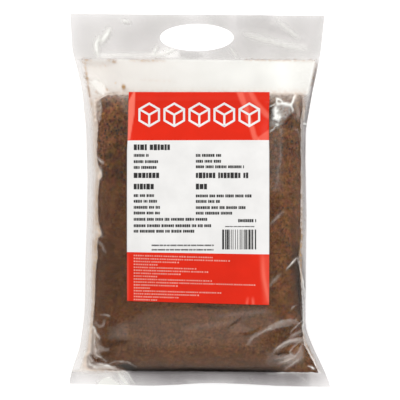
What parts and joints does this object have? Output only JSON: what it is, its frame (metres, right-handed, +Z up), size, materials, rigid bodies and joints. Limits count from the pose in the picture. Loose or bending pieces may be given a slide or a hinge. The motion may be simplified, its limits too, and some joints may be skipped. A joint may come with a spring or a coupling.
{
  "type": "pouch of brown sugar",
  "caption": "Clear welded pouch filled with brown sugar, lying on its back, with a red and white label and a handle hole through its flat header.",
  "frame": {"origin": "middle of the outline, on the surface that the pouch lies on", "axes": "+Z up out of the printed front, +Y towards the handle header, +X to the right of the print"},
  "size_m": [0.3281, 0.4693, 0.0741],
  "materials": {
    "sugar_in_film": "brown sugar seen through clear gloss film",
    "label_print": "gloss print, red ends and a white middle",
    "clear_film": "clear gloss film with a slight haze",
    "sugar": "moist dark brown granules"
  },
  "bodies": {
    "root": {"bag": "sugar_in_film", "label": "label_print"}
  },
  "joints": []
}
